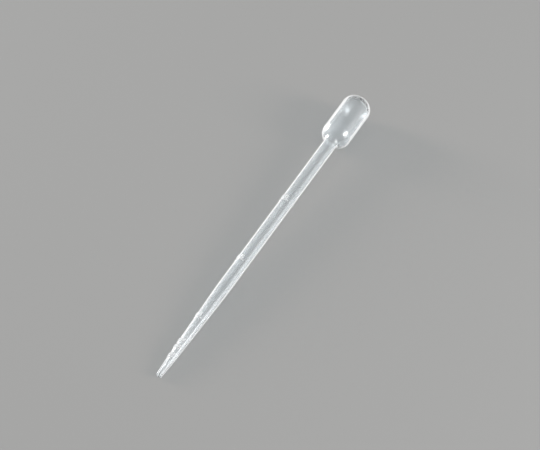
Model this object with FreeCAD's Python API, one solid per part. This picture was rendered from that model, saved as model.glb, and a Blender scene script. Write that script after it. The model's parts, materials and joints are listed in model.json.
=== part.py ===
"""Disposable dropper pipette, blow-moulded in one piece from natural polyethylene.

A thin tube with a long tapered nose runs into a closed bulb. It is hollow from the orifice in
the tip to the far wall of the bulb. Raised arcs on the tube mark the volume held below them.
The two halves of the mould leave a fine parting line down both sides and, across the end of
the bulb, the weld where the tube of hot plastic was pinched shut.

Millimetres, +Z up. The pipette lies as it rests on a table, on the rim of its tip and on the
shoulder of its bulb, with the bulb towards +X.
"""

import FreeCAD, Part

import math
import os

from FreeCAD import Vector

os.makedirs("parts", exist_ok=True)

# ---- lengths along the axis, from the mouth of the tip ----
LENGTH = 150.0          # to the end of the bulb
BULB_LENGTH = 23.9      # bulb, from where the tube begins to flare
NOSE_LENGTH = 45.0      # taper, up to the plain tube
TIP_LENGTH = 9.0        # the steeper cone at the end of the nose

# ---- outside radii ----
TUBE_R = 2.5            # plain tube
BULB_R = 5.45           # barrel of the bulb
TIP_R = 1.1             # rim of the tip
NOSE_R = 1.55           # where the tip's cone meets the nose's

# ---- rounding of the bulb ----
NECK_R = 1.2            # concave, where the tube runs into the shoulder
SHOULDER_R = 4.5        # convex, shoulder to barrel
KNUCKLE_R = 4.2         # convex, barrel to crown
CROWN_R = 8.2           # crown, about a centre on the axis

# ---- cavity and walls ----
BORE_R = 0.55           # orifice
BORE_LENGTH = 4.0       # its straight part
NOSE_WALL = 0.75        # where the tip's cone meets the nose's
TUBE_WALL = 0.3         # plain tube
BULB_WALL = 0.4         # barrel of the bulb
SHOULDER_WALL = 1.1     # shoulder, along the axis
CROWN_WALL = 1.2        # crown, along the axis

# ---- graduations ----
MARKS_ML = (0.01, 0.02, 0.03, 0.1, 0.5, 1.0)    # volume held below each arc
MARK_ANGLE = 100.0      # degrees of arc
MARK_TURN = 25.0        # degrees from straight up to the middle of the arcs
MARK_WIDTH = 0.5        # along the axis, at the surface
MARK_HEIGHT = 0.16      # proud of the surface

# ---- mould lines ----
LINE_WIDTH = 0.2        # parting line
LINE_HEIGHT = 0.06
WELD_WIDTH = 0.6        # pinched weld across the crown, a bead outside and inside
WELD_HEIGHT = 0.15
WELD_SPAN = 6.0

ORIGIN = Vector(0, 0, 0)
AXIS = Vector(1, 0, 0)
UP = Vector(0, 0, 1)    # towards the middle of the arcs, square to the parting plane


def line(start, end):
    """An edge of the half section, between two (x, radius) points."""
    return Part.makeLine(Vector(start[0], 0, start[1]), Vector(end[0], 0, end[1]))


def bend(centre, radius, start, end):
    """An arc of the half section about a centre, between two angles in degrees from +X."""
    points = []
    for degrees in (start, (start + end) / 2, end):
        turn = math.radians(degrees)
        x = centre[0] + radius * math.cos(turn)
        points.append(Vector(x, 0, centre[1] + radius * math.sin(turn)))
    return Part.Arc(*points).toShape()


def flare(inset):
    """Radii of the neck's arc and the shoulder's, and the way from one centre to the other.

    The inset is the depth below the skin. The two arcs touch, so their centres are the two
    radii apart: so far along the axis, and so far across it.
    """
    neck = NECK_R + min(inset, TUBE_WALL)
    shoulder = SHOULDER_R - inset
    across = TUBE_R + NECK_R - (BULB_R - SHOULDER_R)
    along = math.sqrt((neck + shoulder) ** 2 - across ** 2)
    return neck, shoulder, along, across


SHOULDER_X = LENGTH - BULB_LENGTH + flare(0)[2]     # middle of the shoulder's round


def bulb_section(shoulder_x, end, inset):
    """Half section of the bulb from the end of the tube to the axis, the inset below its skin.

    A concave arc turns out of the tube into the shoulder's convex one, the barrel is straight,
    and a knuckle leads into the crown. Each two arcs meet on the line through their centres.
    """
    neck, shoulder, along, across = flare(inset)
    turn = math.degrees(math.atan2(across, along))
    barrel, knuckle, crown = BULB_R - inset, KNUCKLE_R - inset, CROWN_R - inset
    back = math.sqrt((crown - knuckle) ** 2 - (barrel - knuckle) ** 2)
    lean = math.degrees(math.atan2(barrel - knuckle, back))
    knuckle_x = end - crown + back
    return [
        bend((shoulder_x - along, TUBE_R + NECK_R), neck, -90, -turn),
        bend((shoulder_x, barrel - shoulder), shoulder, 180 - turn, 90),
        line((shoulder_x, barrel), (knuckle_x, barrel)),
        bend((knuckle_x, barrel - knuckle), knuckle, 90, lean),
        bend((end - crown, 0), crown, lean, 0),
    ]


def outer_section(proud=0.0):
    """Half section of the outside, or of a line that stands proud of it all along."""
    bulb = bulb_section(SHOULDER_X, LENGTH + proud, -proud)
    tube_end = bulb[0].Vertexes[0].Point.x
    tube = TUBE_R + proud
    return [
        line((0, TIP_R + proud), (TIP_LENGTH, NOSE_R + proud)),
        line((TIP_LENGTH, NOSE_R + proud), (NOSE_LENGTH, tube)),
        line((NOSE_LENGTH, tube), (tube_end, tube)),
    ] + bulb


def inner_section():
    """Half section of the cavity."""
    bulb = bulb_section(
        SHOULDER_X + SHOULDER_WALL - BULB_WALL, LENGTH - CROWN_WALL, BULB_WALL
    )
    tube_end = bulb[0].Vertexes[0].Point.x
    nose, bore = NOSE_R - NOSE_WALL, TUBE_R - TUBE_WALL
    return [
        line((0, BORE_R), (BORE_LENGTH, BORE_R)),
        line((BORE_LENGTH, BORE_R), (TIP_LENGTH, nose)),
        line((TIP_LENGTH, nose), (NOSE_LENGTH, bore)),
        line((NOSE_LENGTH, bore), (tube_end, bore)),
    ] + bulb


def section_face(edges):
    """The half section closed along the axis."""
    start = edges[0].Vertexes[0].Point
    end = edges[-1].Vertexes[-1].Point
    closing = [Part.makeLine(end, ORIGIN), Part.makeLine(ORIGIN, start)]
    return Part.Face(Part.Wire(edges + closing))


def turned(edges):
    """The solid that a half section sweeps about the axis, with its seam underneath."""
    solid = section_face(edges).revolve(ORIGIN, AXIS, 360)
    solid.rotate(ORIGIN, AXIS, 180)
    return solid


def mould_line():
    """The parting line, a fine ridge down both sides and round the crown."""
    face = section_face(outer_section(LINE_HEIGHT))
    face.translate(Vector(0, -LINE_WIDTH / 2, 0))
    half = face.extrude(Vector(0, LINE_WIDTH, 0))
    half.rotate(ORIGIN, AXIS, 90)
    other = half.copy()
    other.rotate(ORIGIN, AXIS, 180)
    return half.fuse(other)


def outer_radius(x):
    """Outside radius of the nose and the tube."""
    if x < TIP_LENGTH:
        return TIP_R + (NOSE_R - TIP_R) * x / TIP_LENGTH
    share = min((x - TIP_LENGTH) / (NOSE_LENGTH - TIP_LENGTH), 1)
    return NOSE_R + (TUBE_R - NOSE_R) * share


def level_of(cavity, ml):
    """Where along the axis the cavity below holds a volume, found by halving."""
    low, high = 0.0, LENGTH - BULB_LENGTH
    while high - low > 0.01:
        middle = (low + high) / 2
        below = cavity.common(Part.makeCylinder(BULB_R, middle, ORIGIN, AXIS))
        low, high = (middle, high) if below.Volume < ml * 1000 else (low, middle)
    return (low + high) / 2


def bead(centre, axis, middle, radius, angle, width, height):
    """An arc of round section that stands proud of a surface, or below it if height is minus.

    It runs about the axis through the centre, at the surface's radius, and its middle lies in
    the direction given. Its width is at the surface.
    """
    section = (width ** 2 / 4 + height ** 2) / (2 * height)
    core = centre + middle * (radius + height - section)
    face = Part.Face(Part.Wire(Part.makeCircle(abs(section), core, axis.cross(middle))))
    face.rotate(centre, axis, -angle / 2)
    return face.revolve(centre, axis, angle)


def graduation(x):
    """A raised arc across the top of the tube."""
    centre = Vector(x, 0, 0)
    return bead(centre, AXIS, UP, outer_radius(x), MARK_ANGLE, MARK_WIDTH, MARK_HEIGHT)


def weld(end, crown, height):
    """The pinched weld on a crown of this radius that ends here."""
    centre = Vector(end - crown, 0, 0)
    angle = 2 * math.degrees(math.asin(WELD_SPAN / 2 / crown))
    return bead(centre, UP, AXIS, crown, angle, WELD_WIDTH, height)


def rest_tilt():
    """Angle of the axis to the table: the line from the rim of the tip that touches the
    round of the shoulder."""
    down = BULB_R - SHOULDER_R - TIP_R
    chord = math.hypot(SHOULDER_X, down)
    return math.degrees(math.atan2(down, SHOULDER_X) + math.asin(SHOULDER_R / chord))


weld_inside = weld(LENGTH - CROWN_WALL, CROWN_R - BULB_WALL, -WELD_HEIGHT)
cavity = turned(inner_section()).cut(weld_inside)
levels = [level_of(cavity, ml) for ml in MARKS_ML]
raised = [mould_line(), weld(LENGTH, CROWN_R, WELD_HEIGHT)] + [graduation(x) for x in levels]
body = turned(outer_section()).fuse(raised)
pipette = body.cut(cavity).removeSplitter().Solids[0]

# lay it down: turn the arcs away from straight up, lower the tip, centre it on the origin
pipette.rotate(ORIGIN, AXIS, -MARK_TURN)
pipette.rotate(ORIGIN, Vector(0, 1, 0), -rest_tilt())
box = pipette.optimalBoundingBox(True, False)
pipette.translate(Vector(-(box.XMin + box.XMax) / 2, -(box.YMin + box.YMax) / 2, -box.ZMin))

pipette.exportStep("parts/pipette.step")
print("arcs at", [round(x, 2) for x in levels], "mm from the mouth of the tip")
print("axis tilted", round(rest_tilt(), 3), "degrees")
print("solid of", round(pipette.Volume, 1), "mm3, valid", pipette.isValid())
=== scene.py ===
"""Looks for a dropper pipette, blow-moulded in one piece from natural polyethylene.

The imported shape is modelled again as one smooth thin-walled shell, open at the tip, with its
raised graduation arcs, parting lines and pinched weld, and the arcs get their figures. The
plastic is cloudy and lets light through. The stage is a plain pale floor with soft light. Run
as a script, or registered as an add-on whose panel lists the same steps.
"""

import json
import math

import bmesh
import bpy
from mathutils import Euler, Matrix, Vector


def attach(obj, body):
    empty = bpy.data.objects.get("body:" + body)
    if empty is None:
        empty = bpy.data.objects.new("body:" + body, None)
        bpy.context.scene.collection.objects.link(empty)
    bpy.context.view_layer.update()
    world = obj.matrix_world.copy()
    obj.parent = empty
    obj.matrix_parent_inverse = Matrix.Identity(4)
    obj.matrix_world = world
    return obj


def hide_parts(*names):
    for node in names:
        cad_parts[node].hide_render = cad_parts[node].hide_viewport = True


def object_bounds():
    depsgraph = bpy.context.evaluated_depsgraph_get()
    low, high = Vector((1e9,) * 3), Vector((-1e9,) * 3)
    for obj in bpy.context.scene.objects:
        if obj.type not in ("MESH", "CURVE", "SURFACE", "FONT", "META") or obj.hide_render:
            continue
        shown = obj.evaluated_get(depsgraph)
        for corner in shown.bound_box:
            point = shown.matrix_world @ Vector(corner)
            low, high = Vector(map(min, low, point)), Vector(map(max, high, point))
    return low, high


bl_info = {
    "name": "Dropper pipette",
    "version": (1, 0, 0),
    "blender": (4, 5, 0),
    "location": "View3D > Sidebar > Pipette",
    "description": "Models a moulded dropper pipette with its figures and sets a plain stage",
    "category": "Object",
}

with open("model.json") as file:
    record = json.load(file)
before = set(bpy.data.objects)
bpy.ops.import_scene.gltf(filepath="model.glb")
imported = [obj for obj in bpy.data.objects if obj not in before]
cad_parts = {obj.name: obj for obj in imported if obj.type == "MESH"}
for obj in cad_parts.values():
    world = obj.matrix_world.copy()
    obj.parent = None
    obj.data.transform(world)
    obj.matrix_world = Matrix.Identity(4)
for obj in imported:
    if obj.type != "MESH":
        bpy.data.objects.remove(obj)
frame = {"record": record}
CAD_BOX = [list(corner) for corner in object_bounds()]
MM = 0.001
MILLILITRE = 1e-6

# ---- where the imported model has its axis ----

MOUNTS = {m["name"]: m for m in frame["record"]["mounts"]}
TUBE_R = MOUNTS["tube"]["dims"]["r_mm"] * MM
BORE_R = MOUNTS["tip_bore"]["dims"]["r_mm"] * MM
BORE_LENGTH = MOUNTS["tip_bore"]["dims"]["length_mm"] * MM
ALONG = -Vector(MOUNTS["tip_bore"]["axis"]).normalized()        # from the tip to the bulb
MOUTH = Vector(MOUNTS["tip_bore"]["pos_m"]) - ALONG * BORE_LENGTH / 2     # of the tip
TILT = math.asin(ALONG.z)                                       # the bulb's end lies higher
LENGTH = 150.0 * MM

# ---- the raised marks ----

VOLUMES = ("0.01", "0.02", "0.03", "0.1", "0.5", "1.0")     # in millilitres, one to an arc
PROUD = "proud"     # attribute: 0 on the skin, 1 on the crest of an arc and on a figure
FIGURE_HEIGHT = 0.7     # of the built-in font's figures, as a share of its size

# ---- how finely the mesh is divided ----

NECK_STEPS, SHOULDER_STEPS, KNUCKLE_STEPS, CROWN_STEPS = 8, 16, 20, 14
SIDE_STEPS = 60         # round each half of the shell, from one parting line to the other
LINE_STEPS = 2          # across a parting line, with its crest in the middle
ARC_STEPS = 8           # across the width of a graduation arc
SAME_PLACE = 1e-7       # vertices nearer than this are one
NEARLY = 1e-6           # what is this near a surface or a level counts as on it

# ---- the stage ----

FLOOR_REACH = 3.0       # each way from the middle
MIDDLE = Vector((0, 0, 5 * MM))             # of the pipette
LIT = MIDDLE + Vector((20 * MM, 0, 0))      # what the lamps face, nearer the bulb
# each lamp's direction from there, its distance and its width
BACK_SOFTBOX = (Vector((0.02, 0.97, 0.2)), 1.6, 0.5)
SIDE_SOFTBOX = (Vector((0.08, -0.93, 0.33)), 1.2, 0.4)


# ---- sizes and colours that a user would change ----

def size(name, description, mm):
    """A length, given in millimetres."""
    return bpy.props.FloatProperty(
        name=name, description=description, default=mm * MM, min=0.00001,
        unit="LENGTH", subtype="DISTANCE", precision=5,
    )


def angle(name, description, degrees):
    """An angle, given in degrees."""
    return bpy.props.FloatProperty(
        name=name, description=description, default=math.radians(degrees),
        unit="ROTATION", subtype="ANGLE",
    )


def share(name, description, default):
    """A part of a whole, from 0 to 1."""
    return bpy.props.FloatProperty(
        name=name, description=description, default=default, min=0, max=1, subtype="FACTOR",
    )


def power(name, description, watts):
    """A lamp's power, given in watts."""
    return bpy.props.FloatProperty(
        name=name, description=description, default=watts, min=0, unit="POWER",
    )


def linear(hex_colour):
    """A colour written as sRGB hex, as the linear RGBA that a shader takes."""
    channels = [int(hex_colour[i:i + 2], 16) / 255 for i in (1, 3, 5)]
    return [c / 12.92 if c < 0.04045 else ((c + 0.055) / 1.055) ** 2.4 for c in channels] + [1]


def colour(name, description, hex_colour):
    """A colour, given as sRGB hex and kept as linear RGBA."""
    return bpy.props.FloatVectorProperty(
        name=name, description=description, default=linear(hex_colour),
        subtype="COLOR", size=4, min=0, max=1,
    )


class ShellSettings(bpy.types.PropertyGroup):
    """Outside sizes and walls of the blow-moulded shell."""

    tip_r: size("Tip radius", "Outside radius of the tip's rim", 1.1)
    nose_r: size("Nose radius", "Outside radius where the tip's cone meets the nose's", 1.55)
    tip_length: size("Tip length", "Steeper cone at the end of the nose", 9)
    nose_length: size("Nose length", "From the mouth of the tip to the plain tube", 45)
    bulb_length: size("Bulb length", "From where the tube begins to flare to the end", 23.9)
    bulb_r: size("Bulb radius", "Outside radius of the bulb's barrel", 5.435)
    neck_r: size("Neck round", "Concave, where the tube runs into the shoulder", 1.2)
    shoulder_r: size("Shoulder round", "Convex, from the shoulder to the barrel", 4.5)
    knuckle_r: size("Knuckle round", "Convex, from the barrel to the crown", 4.2)
    crown_r: size("Crown round", "The crown's, about a centre on the axis", 8.2)
    nose_wall: size("Nose wall", "Where the tip's cone meets the nose's", 0.75)
    tube_wall: size("Tube wall", "Wall of the plain tube", 0.3)
    bulb_wall: size("Bulb wall", "Wall of the bulb's barrel", 0.4)
    shoulder_wall: size("Shoulder wall", "Wall of the shoulder, along the axis", 1.1)
    crown_wall: size("Crown wall", "Wall of the crown, along the axis", 1.2)
    turn: angle("Turn", "From straight up to the middle of the arcs, round the axis", 25)
    sharp: angle("Sharp edge", "Edges that turn by more than this aren't smoothed over", 50)


class RaisedSettings(bpy.types.PropertyGroup):
    """What stands proud of the shell: arcs, parting lines and the pinched weld."""

    arc_angle: angle("Arc", "How far each graduation arc reaches round the tube", 100)
    arc_width: size("Arc width", "Width of a graduation arc along the tube", 0.5)
    arc_height: size("Arc height", "How far a graduation arc stands proud", 0.16)
    line_angle: angle("Parting line width", "Width of a parting line, round the axis", 3.2)
    line_height: size("Parting line height", "How far the parting lines stand proud", 0.025)
    weld_span: size("Weld span", "Length of the pinched weld across the crown", 6)
    weld_width: size("Weld width", "Width of the pinched weld", 0.6)
    weld_height: size("Weld height", "How far the weld stands proud, inside and outside", 0.145)


class FigureSettings(bpy.types.PropertyGroup):
    """The raised figures on the bulb's side of each graduation arc."""

    height: size("Height", "Height of the figures on the tube", 1.8)
    small_height: size("Height on the nose", "Height of the figures near the tip", 1.3)
    small_below: size("End of the small ones", "Arcs nearer the tip have the small figures", 20)
    rise: size("Rise", "How far the figures stand proud of the tube", 0.2)
    gap: size("Gap", "From the middle of an arc to the foot of its figures", 0.5)
    boldness: size("Boldness", "How much wider each side of a stroke is than the font's", 0.04)
    rounding: size("Rounding", "Round on the edges of the strokes", 0.04)


class PlasticSettings(bpy.types.PropertyGroup):
    """Natural low-density polyethylene as it leaves the mould."""

    haze: share("Haze", "Share of the light that a thin wall scatters, seen square on", 0.045)
    nose_haze: share("Haze of the tip", "The same for the thicker wall of the tip", 0.2)
    edge_haze: share("Haze of the edge", "The same where the wall is seen edge on", 0.98)
    raised_haze: share("Haze of raised marks", "Added where the plastic stands proud", 0.8)
    depth: size("Scattering depth", "How far light wanders inside the plastic", 0.4)
    flow_width: size("Flow line width", "Width of the faint lines along the tube", 0.5)
    ripple_width: size("Ripple width", "Width of the shallow ripples in the skin", 3.5)
    relief: size("Relief", "Depth that the ripples and flow lines seem to have", 0.06)
    tint: colour("Tint", "Colour of the plastic", "#F0F5F8")
    flow_tint: colour("Flow line tint", "Colour of the plastic in the flow lines", "#FAFCFD")
    passing_tint: colour("Shadow tint", "Colour of the light behind the wall", "#F5F7F8")


class StageSettings(bpy.types.PropertyGroup):
    """Plain floor, soft lamps and the camera."""

    floor: colour("Floor", "Colour of the floor", "#B2B2B1")
    back: power("Back lamp", "Power of the softbox behind the pipette, to the left", 33)
    side: power("Side lamp", "Power of the softbox to the right of the pipette", 12)
    room: bpy.props.FloatProperty(
        name="Room", description="Even light from all round", default=0.31, min=0,
    )
    elevation: angle("Elevation", "How far the camera looks down", 44.9)
    heading: angle("Heading", "Where the camera looks on the floor, from +X towards +Y", 28.4)
    aim_right: size("Aim to the right", "How far right of the middle the camera aims", 2.65)
    aim_above: size("Aim above", "How far above the middle the camera aims", 2.69)
    distance: size("Distance", "From the camera to the middle of the pipette", 2000)
    lens: bpy.props.FloatProperty(
        name="Lens", description="Focal length in millimetres", default=377.3, min=1,
    )


# ---- materials ----

def node(tree, kind, links=(), **settings):
    """Adds a shader node. Settings named in_NAME go to its inputs, others to the node, and each
    link is (an output socket, the name or number of the input that it feeds)."""
    new = tree.nodes.new(kind)
    for name, value in settings.items():
        if name.startswith("in_"):
            new.inputs[name[3:].replace("_", " ")].default_value = value
        else:
            setattr(new, name, value)
    for source, target in links:
        tree.links.new(source, new.inputs[target])
    return new


def empty_material(name):
    """A new material and its node tree, with nothing in the tree."""
    material = bpy.data.materials.new(name)
    material.use_nodes = True
    material.node_tree.nodes.clear()
    return material, material.node_tree


def polyethylene(settings, shell):
    """Natural low-density polyethylene, blow-moulded.

    Thin, cloudy and slightly waxy: light comes through softened, the wall turns white where it
    is seen edge on and where it is thick, and the skin keeps a soft gloss. Lamps reach what is
    behind the thin wall, so its shadow is a light one.
    """
    flow_stretch = 20                   # a flow line is this many times longer than wide
    noise_low, noise_high = 0.3, 0.7    # between which the noise mostly lies
    unevenness = 0.5                    # share by which the haze differs either way
    white_from, white_to = 0.5, 0.62    # Facing where the wall starts to whiten, and is whitest
    glossiest, dullest = 0.18, 0.26     # roughness of the skin

    material, tree = empty_material("Polyethylene_natural_blow_moulded")
    place = node(tree, "ShaderNodeTexCoord")
    # the pattern's own X runs down the pipette's axis
    axis = node(
        tree, "ShaderNodeMapping", [(place.outputs["Object"], "Vector")],
        vector_type="TEXTURE", in_Location=MOUTH, in_Rotation=Euler((0, -TILT, 0)),
    )
    along = node(tree, "ShaderNodeSeparateXYZ", [(axis.outputs[0], 0)])
    drawn = node(
        tree, "ShaderNodeMapping", [(axis.outputs[0], "Vector")],
        in_Scale=(1 / flow_stretch, 1, 1),
    )
    flow = node(
        tree, "ShaderNodeTexNoise", [(drawn.outputs[0], "Vector")],
        in_Scale=1 / settings.flow_width, in_Detail=2, in_Roughness=0.5,
    )
    ripple = node(
        tree, "ShaderNodeTexNoise", [(axis.outputs[0], "Vector")],
        in_Scale=1 / settings.ripple_width, in_Detail=2, in_Roughness=0.4,
    )

    # the tip's thick wall and what stands proud are the cloudiest, and flow lines vary the wall
    body = node(
        tree, "ShaderNodeMapRange", [(along.outputs["X"], "Value")],
        in_From_Min=shell.tip_length, in_From_Max=shell.nose_length,
        in_To_Min=settings.nose_haze, in_To_Max=settings.haze,
    )
    uneven = node(
        tree, "ShaderNodeMapRange", [(flow.outputs["Fac"], "Value")],
        in_From_Min=noise_low, in_From_Max=noise_high,
        in_To_Min=1 - unevenness, in_To_Max=1 + unevenness,
    )
    wall = node(
        tree, "ShaderNodeMath", [(body.outputs["Result"], 0), (uneven.outputs["Result"], 1)],
        operation="MULTIPLY",
    )
    proud = node(tree, "ShaderNodeAttribute", attribute_name=PROUD)
    haze = node(
        tree, "ShaderNodeMath", [(proud.outputs["Fac"], 0), (wall.outputs[0], 2)],
        operation="MULTIPLY_ADD",
    )
    haze.inputs[1].default_value = settings.raised_haze
    clear = node(tree, "ShaderNodeMath", [(haze.outputs[0], 1)], operation="SUBTRACT")
    clear.inputs[0].default_value = 1
    aslant = node(tree, "ShaderNodeLayerWeight", in_Blend=0.5)
    passing = node(
        tree, "ShaderNodeMapRange",
        [(aslant.outputs["Facing"], "Value"), (clear.outputs[0], "To Min")],
        interpolation_type="SMOOTHSTEP",
        in_From_Min=white_from, in_From_Max=white_to, in_To_Max=1 - settings.edge_haze,
    )

    gloss = node(
        tree, "ShaderNodeMapRange", [(ripple.outputs["Fac"], "Value")],
        in_To_Min=glossiest, in_To_Max=dullest,
    )
    tint = node(
        tree, "ShaderNodeMix", [(flow.outputs["Fac"], "Factor")], data_type="RGBA",
        in_A=settings.tint, in_B=settings.flow_tint,
    )
    relief = node(
        tree, "ShaderNodeMath", [(flow.outputs["Fac"], 0), (ripple.outputs["Fac"], 1)],
        operation="ADD",
    )
    skin = node(
        tree, "ShaderNodeBump", [(relief.outputs[0], "Height")],
        in_Strength=0.25, in_Distance=settings.relief,
    )
    plastic = node(
        tree, "ShaderNodeBsdfPrincipled",
        [(tint.outputs["Result"], "Base Color"), (gloss.outputs["Result"], "Roughness"),
         (passing.outputs["Result"], "Transmission Weight"), (skin.outputs["Normal"], "Normal")],
        in_IOR=1.51, in_Subsurface_Weight=1, in_Subsurface_Radius=(1, 1, 1),
        in_Subsurface_Scale=settings.depth, in_Coat_Weight=1, in_Coat_Roughness=0.32,
    )

    # light on its way to what lies behind the wall isn't stopped by it
    passed = node(tree, "ShaderNodeBsdfTransparent", in_Color=settings.passing_tint)
    ray = node(tree, "ShaderNodeLightPath")
    surface = plastic
    for kind in ("Is Diffuse Ray", "Is Shadow Ray"):
        surface = node(
            tree, "ShaderNodeMixShader",
            [(ray.outputs[kind], 0), (surface.outputs[0], 1), (passed.outputs[0], 2)],
        )
    node(tree, "ShaderNodeOutputMaterial", [(surface.outputs[0], "Surface")])
    return material


def painted_board(paint):
    """Matt painted board, sprayed: the plain floor, even in colour and without a shine."""
    material, tree = empty_material("Painted_board_matt")
    shader = node(tree, "ShaderNodeBsdfPrincipled", in_Base_Color=paint, in_Roughness=0.7)
    node(tree, "ShaderNodeOutputMaterial", [(shader.outputs[0], "Surface")])
    return material


# ---- the shell ----

def new_piece(context, name, bm, material):
    """An object at the origin with its place in its mesh, made of a bmesh that this frees."""
    mesh = bpy.data.meshes.new(name)
    bm.to_mesh(mesh)
    bm.free()
    mesh.materials.append(material)
    piece = bpy.data.objects.new(name, mesh)
    context.scene.collection.objects.link(piece)
    return piece


def laid_down(turn):
    """From the shell's own place, in metres along +X with the middle of the arcs up, to where
    the pipette lies."""
    return (
        Matrix.Translation(MOUTH) @ Matrix.Rotation(-TILT, 4, "Y")
        @ Matrix.Rotation(-turn, 4, "X")
    )


def drawn_to(bm, pen, x, radius):
    """Draws a straight edge of the half section and returns its end."""
    end = bmesh.ops.extrude_vert_indiv(bm, verts=[pen])["verts"][0]
    end.co = (x, 0, radius)
    return end


def drawn_round(bm, pen, centre, turn, steps):
    """Draws an arc of the half section about a centre, anticlockwise, and returns its end."""
    made = bmesh.ops.spin(
        bm, geom=[pen], cent=(centre[0], 0, centre[1]), axis=(0, 1, 0), angle=-turn,
        steps=steps,
    )["geom_last"]
    return next(v for v in made if isinstance(v, bmesh.types.BMVert))


def flare(shell, inset):
    """Radii of the neck's arc and the shoulder's, and the way between their centres, along the
    axis and across it, for a skin that lies so far below the outside."""
    neck = shell.neck_r + min(inset, shell.tube_wall)
    shoulder = shell.shoulder_r - inset
    across = TUBE_R + shell.neck_r - (shell.bulb_r - shell.shoulder_r)
    return neck, shoulder, math.sqrt((neck + shoulder) ** 2 - across ** 2), across


def draw_bulb(bm, pen, shell, shoulder_x, end, inset):
    """Draws the bulb's half section from the plain tube to the axis: neck, shoulder, barrel,
    knuckle and crown, each round meeting the next on the line through their centres."""
    neck, shoulder, along, across = flare(shell, inset)
    swing = math.atan2(across, along)
    barrel, knuckle = shell.bulb_r - inset, shell.knuckle_r - inset
    crown = shell.crown_r - inset
    back = math.sqrt((crown - knuckle) ** 2 - (barrel - knuckle) ** 2)
    lean = math.atan2(barrel - knuckle, back)
    quarter = math.pi / 2
    neck_at = (shoulder_x - along, TUBE_R + shell.neck_r)
    shoulder_at = (shoulder_x, barrel - shoulder)
    knuckle_at = (end - crown + back, barrel - knuckle)
    pen = drawn_to(bm, pen, neck_at[0], neck_at[1] - neck)
    pen = drawn_round(bm, pen, neck_at, quarter - swing, NECK_STEPS)
    pen = drawn_round(bm, pen, shoulder_at, swing - quarter, SHOULDER_STEPS)
    pen = drawn_to(bm, pen, knuckle_at[0], barrel)
    pen = drawn_round(bm, pen, knuckle_at, lean - quarter, KNUCKLE_STEPS)
    pen = drawn_round(bm, pen, (end - crown, 0), -lean, CROWN_STEPS)
    pen.co.z = 0


def skin_radius(shell, x):
    """Outside radius of the nose and the tube at a distance from the mouth of the tip."""
    if x < shell.tip_length:
        return shell.tip_r + (shell.nose_r - shell.tip_r) * x / shell.tip_length
    along = (x - shell.tip_length) / (shell.nose_length - shell.tip_length)
    return shell.nose_r + (TUBE_R - shell.nose_r) * min(along, 1)


def cavity_corners(shell):
    """Half section of the cavity from the mouth of the tip to the end of the plain tube."""
    bore = TUBE_R - shell.tube_wall
    return [
        (0, BORE_R), (BORE_LENGTH, BORE_R), (shell.tip_length, shell.nose_r - shell.nose_wall),
        (shell.nose_length, bore), (LENGTH - shell.bulb_length, bore),
    ]


def held_below(shell, level):
    """Volume that the cavity holds from the mouth of the tip up to a level."""
    volume = 0
    corners = cavity_corners(shell)
    for (start, near), (end, far) in zip(corners, corners[1:]):
        reach = min(level, end) - start
        if reach > 0:
            top = near + (far - near) * reach / (end - start)
            volume += math.pi * reach * (near ** 2 + near * top + top ** 2) / 3
    return volume


def arc_levels(shell):
    """How far from the mouth of the tip each arc lies: where the cavity below holds its
    volume, found by halving."""
    levels = []
    for volume in VOLUMES:
        low, high = 0, LENGTH - shell.bulb_length
        while high - low > NEARLY:
            middle = (low + high) / 2
            enough = held_below(shell, middle) > float(volume) * MILLILITRE
            low, high = (low, middle) if enough else (middle, high)
        levels.append((low + high) / 2)
    return levels


def rounded(distance, width, height):
    """How far a bead of round section stands proud at a distance from its middle."""
    if abs(distance) >= width / 2:
        return 0
    section = (width ** 2 / 4 + height ** 2) / (2 * height)
    return math.sqrt(section ** 2 - distance ** 2) - section + height


def draw_half_section(bm, shell, raised):
    """Draws the outside from the tip to the crown and the cavity the same way, joined at the
    rim of the tip, with the edges that the graduation arcs need."""
    shoulder_x = LENGTH - shell.bulb_length + flare(shell, 0)[2]
    corners = [(shell.tip_length, shell.nose_r), (shell.nose_length, TUBE_R)]
    for level in arc_levels(shell):
        for step in range(ARC_STEPS + 1):
            x = level + raised.arc_width * (step / ARC_STEPS - 0.5)
            corners.append((x, skin_radius(shell, x)))
    outer = pen = bm.verts.new((0, 0, shell.tip_r))
    for x, radius in sorted(corners):
        pen = drawn_to(bm, pen, x, radius)
    draw_bulb(bm, pen, shell, shoulder_x, LENGTH, 0)

    inner = pen = bm.verts.new((0, 0, BORE_R))
    for x, radius in cavity_corners(shell)[1:-1]:
        pen = drawn_to(bm, pen, x, radius)
    inner_x = shoulder_x + shell.shoulder_wall - shell.bulb_wall
    draw_bulb(bm, pen, shell, inner_x, LENGTH - shell.crown_wall, shell.bulb_wall)
    bm.edges.new((outer, inner))


def put_in_order(bm):
    """Lists the faces by the numbers of their vertices, because spin lists them in an order
    that differs from run to run."""
    bm.verts.index_update()
    count = len(bm.verts)

    def rank(face):
        first, second, third = sorted(vert.index for vert in face.verts)[:3]
        return (first * count + second) * count + third

    bm.faces.sort(key=rank)


def sweep_round(bm, line):
    """Spins the half section about the axis. Narrow steps on each side carry the parting
    line, which takes the angle given."""
    bmesh.ops.rotate(
        bm, verts=bm.verts, cent=(0, 0, 0),
        matrix=Matrix.Rotation(math.pi / 2 - line / 2, 3, "X"),
    )
    section = bm.verts[:] + bm.edges[:]
    for sweep, steps in ((line, LINE_STEPS), (math.pi - line, SIDE_STEPS)) * 2:
        section = bmesh.ops.spin(
            bm, geom=section, cent=(0, 0, 0), axis=(1, 0, 0), angle=sweep, steps=steps,
        )["geom_last"]
    bmesh.ops.remove_doubles(bm, verts=bm.verts, dist=SAME_PLACE)
    put_in_order(bm)


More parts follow.
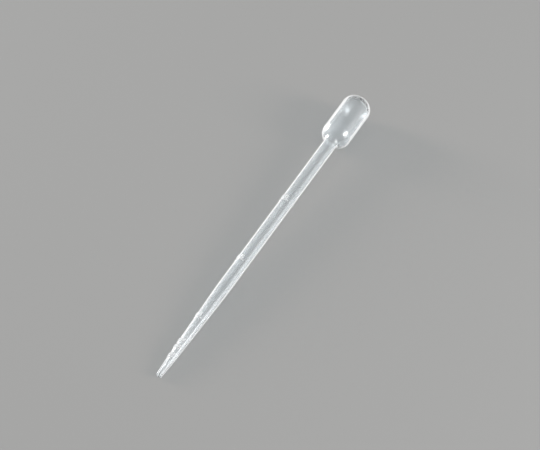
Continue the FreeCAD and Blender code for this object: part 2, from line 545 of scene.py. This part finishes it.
def raise_details(bm, shell, raised):
    """Lifts the skin into the graduation arcs, the parting lines and the pinched weld, which is
    a bead on both sides of the crown."""
    bm.normal_update()
    in_bulb = Vector((LENGTH - shell.crown_wall - shell.knuckle_r, 0, 0))
    levels = arc_levels(shell)
    proud = bm.verts.layers.float.new(PROUD)
    for vert in bm.verts:
        x, y, z = vert.co
        on_bulb = x > LENGTH - shell.bulb_length
        if on_bulb:
            outside = vert.normal.dot(vert.co - in_bulb) > 0
        else:
            outside = math.hypot(y, z) > skin_radius(shell, x) - NEARLY
        lift = 0
        if outside and abs(z) < NEARLY:
            lift = raised.line_height
        if outside and not on_bulb and abs(math.atan2(y, z)) < raised.arc_angle / 2:
            lift = max(
                rounded(x - level, raised.arc_width, raised.arc_height) for level in levels
            )
        if x > in_bulb.x and abs(y) < raised.weld_span / 2:
            lift = max(lift, rounded(z, raised.weld_width, raised.weld_height))
        vert.co += vert.normal * lift
        vert.co.x = max(vert.co.x, 0)       # nothing stands past the mouth of the tip
        vert[proud] = lift / raised.arc_height


class PIPETTE_OT_shell(bpy.types.Operator):
    """Model the blow-moulded shell with its arcs, parting lines and pinched weld"""

    bl_idname = "pipette.shell"
    bl_label = "Model the shell"

    def execute(self, context):
        shell, raised = context.scene.pipette_shell, context.scene.pipette_raised
        bm = bmesh.new()
        draw_half_section(bm, shell, raised)
        sweep_round(bm, raised.line_angle)
        bmesh.ops.recalc_face_normals(bm, faces=bm.faces)
        raise_details(bm, shell, raised)
        bmesh.ops.transform(bm, matrix=laid_down(shell.turn), verts=bm.verts)
        for face in bm.faces:
            face.smooth = True
        material = polyethylene(context.scene.pipette_plastic, shell)
        piece = new_piece(context, "moulded_shell", bm, material)
        piece.data.set_sharp_from_angle(angle=shell.sharp)
        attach(piece, "root")
        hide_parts("pipette")
        return {"FINISHED"}


# ---- figures ----

def flat_figures(context, text, height, figures):
    """One arc's figures as a flat mesh: across the tube along X, and up along Y from their
    feet."""
    letters = bpy.data.curves.new("Figures", "FONT")
    letters.body = text
    letters.size = height / FIGURE_HEIGHT
    letters.align_x = "CENTER"
    letters.resolution_u = 4
    letters.extrude = figures.rise / 2
    letters.offset = figures.boldness
    letters.bevel_depth = figures.rounding
    letters.bevel_resolution = 1
    source = bpy.data.objects.new("Figures", letters)
    context.scene.collection.objects.link(source)
    context.view_layer.update()
    mesh = bpy.data.meshes.new_from_object(
        source.evaluated_get(context.evaluated_depsgraph_get())
    )
    bpy.data.objects.remove(source)
    bpy.data.curves.remove(letters)
    return mesh


def bent_round(point, shell, foot, rise):
    """Where a point of the flat figures comes once they are bent round the tube, with their
    feet this far from the mouth of the tip and their tops towards the bulb."""
    across, up, out = point
    radius = skin_radius(shell, foot + up)
    around = across / radius
    out += radius + rise / 2
    return foot + up, -math.sin(around) * out, math.cos(around) * out


class PIPETTE_OT_figures(bpy.types.Operator):
    """Build the raised figures beside the graduation arcs"""

    bl_idname = "pipette.figures"
    bl_label = "Add the figures"

    def execute(self, context):
        shell, figures = context.scene.pipette_shell, context.scene.pipette_figures
        bm = bmesh.new()
        proud = bm.verts.layers.float.new(PROUD)
        for volume, level in zip(VOLUMES, arc_levels(shell)):
            small = level < figures.small_below
            height = figures.small_height if small else figures.height
            mesh = flat_figures(context, volume, height, figures)
            before = len(bm.verts)
            bm.from_mesh(mesh)
            bpy.data.meshes.remove(mesh)
            bm.verts.ensure_lookup_table()
            for vert in bm.verts[before:]:
                vert.co = bent_round(vert.co, shell, level + figures.gap, figures.rise)
                vert[proud] = 1
        bmesh.ops.remove_doubles(bm, verts=bm.verts, dist=SAME_PLACE)
        bmesh.ops.recalc_face_normals(bm, faces=bm.faces)
        bmesh.ops.transform(bm, matrix=laid_down(shell.turn), verts=bm.verts)
        material = bpy.data.objects["moulded_shell"].data.materials[0]
        piece = new_piece(context, "moulded_figures", bm, material)
        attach(piece, "root")
        return {"FINISHED"}


# ---- stage ----

def lay_floor(context, paint):
    """A plain floor at the level that the pipette rests on."""
    bm = bmesh.new()
    bmesh.ops.create_grid(bm, x_segments=1, y_segments=1, size=FLOOR_REACH)
    bmesh.ops.translate(bm, verts=bm.verts, vec=(0, 0, CAD_BOX[0][2]))
    floor = new_piece(context, "floor", bm, painted_board(paint))


def light_room(context, strength):
    """Even white light from all round."""
    world = bpy.data.worlds.new("Soft_room")
    world.use_nodes = True
    background = world.node_tree.nodes["Background"]
    background.inputs["Color"].default_value = linear("#FFFFFF")
    background.inputs["Strength"].default_value = strength
    context.scene.world = world


def hang_lamp(context, name, towards, distance, width, watts):
    """A round softbox that faces the pipette from so far away in a direction."""
    light = bpy.data.lights.new(name, "AREA")
    light.shape = "DISK"
    light.size = width
    light.energy = watts
    softbox = bpy.data.objects.new(name, light)
    softbox.location = LIT + towards.normalized() * distance
    softbox.rotation_euler = towards.to_track_quat("Z", "Y").to_euler()
    context.scene.collection.objects.link(softbox)


def aim_camera(context, settings):
    """The camera, aimed a little to the right of the pipette's middle and above it."""
    heading, elevation = settings.heading, settings.elevation
    ahead = Vector((math.cos(heading), math.sin(heading), 0))
    right = Vector((ahead.y, -ahead.x, 0))
    look = ahead * math.cos(elevation) - Vector((0, 0, math.sin(elevation)))
    above = right.cross(look)
    aim = MIDDLE + right * settings.aim_right + above * settings.aim_above
    data = bpy.data.cameras.new("Camera")
    data.lens = settings.lens
    data.sensor_width = 36
    data.clip_start = 0.05
    camera = bpy.data.objects.new("Camera", data)
    camera.location = aim - look * settings.distance
    camera.rotation_euler = look.to_track_quat("-Z", "Y").to_euler()
    context.scene.collection.objects.link(camera)
    context.scene.camera = camera


class PIPETTE_OT_stage(bpy.types.Operator):
    """Lay the floor, set the lamps and aim the camera"""

    bl_idname = "pipette.stage"
    bl_label = "Set the stage"

    def execute(self, context):
        settings = context.scene.pipette_stage
        lay_floor(context, settings.floor)
        light_room(context, settings.room)
        hang_lamp(context, "Back_softbox", *BACK_SOFTBOX, settings.back)
        hang_lamp(context, "Side_softbox", *SIDE_SOFTBOX, settings.side)
        aim_camera(context, settings)
        context.scene.view_settings.view_transform = "Standard"
        return {"FINISHED"}


# ---- the panel, and the steps in order ----

GROUPS = {
    "pipette_shell": ShellSettings,
    "pipette_raised": RaisedSettings,
    "pipette_plastic": PlasticSettings,
    "pipette_figures": FigureSettings,
    "pipette_stage": StageSettings,
}
STEPS = (
    (PIPETTE_OT_shell, ("pipette_shell", "pipette_raised", "pipette_plastic")),
    (PIPETTE_OT_figures, ("pipette_figures",)),
    (PIPETTE_OT_stage, ("pipette_stage",)),
)


class PIPETTE_PT_panel(bpy.types.Panel):
    """The steps in order, each with its sizes"""

    bl_label = "Pipette"
    bl_idname = "PIPETTE_PT_panel"
    bl_space_type = "VIEW_3D"
    bl_region_type = "UI"
    bl_category = "Pipette"

    def draw(self, context):
        for operator, names in STEPS:
            box = self.layout.box()
            box.operator(operator.bl_idname)
            for name in names:
                for key in GROUPS[name].__annotations__:
                    box.prop(getattr(context.scene, name), key)


CLASSES = [*GROUPS.values(), *(operator for operator, _ in STEPS), PIPETTE_PT_panel]


def register():
    for kind in CLASSES:
        bpy.utils.register_class(kind)
    for name, group in GROUPS.items():
        setattr(bpy.types.Scene, name, bpy.props.PointerProperty(type=group))


def unregister():
    for name in GROUPS:
        delattr(bpy.types.Scene, name)
    for kind in reversed(CLASSES):
        bpy.utils.unregister_class(kind)


def main():
    register()
    bpy.ops.pipette.shell()
    bpy.ops.pipette.figures()
    bpy.ops.pipette.stage()


if __name__ == "__main__":
    main()
